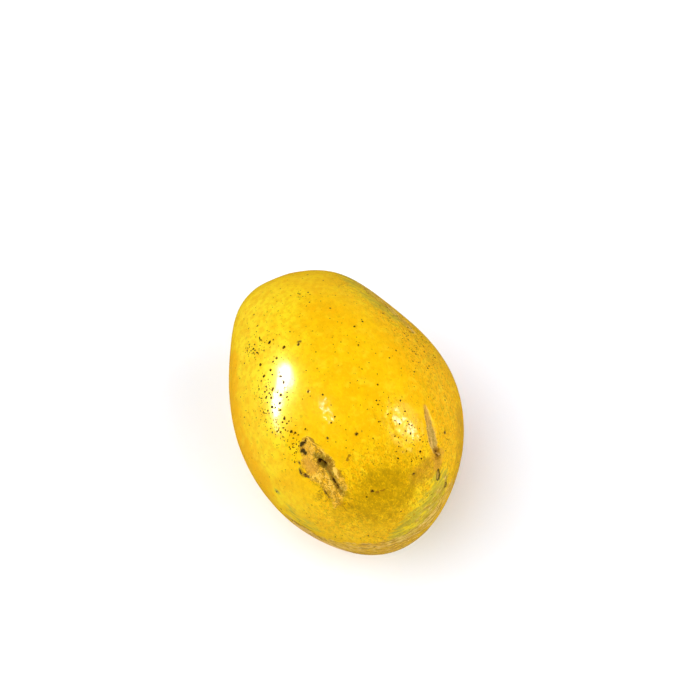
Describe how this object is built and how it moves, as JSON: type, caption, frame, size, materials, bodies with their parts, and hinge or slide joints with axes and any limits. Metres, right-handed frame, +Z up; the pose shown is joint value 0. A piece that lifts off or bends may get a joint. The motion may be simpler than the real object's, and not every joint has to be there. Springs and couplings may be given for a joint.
{
  "type": "ambarella",
  "caption": "Whole ripe ambarella, an egg-shaped golden fruit lying on its side, with a round stem scar, a small tip point and healed marks in its skin.",
  "frame": {"origin": "middle of the fruit's footprint, on the surface that it rests on", "axes": "+Z up; +Y along the fruit's long axis towards the stem end; +X to the fruit's side"},
  "size_m": [0.0602, 0.0834, 0.0576],
  "materials": {
    "ripe_skin": "waxy, golden yellow fruit skin with greenish ends, dark pores and corky tan scars"
  },
  "bodies": {
    "root": {"ambarella_fruit": "ripe_skin"}
  },
  "joints": []
}
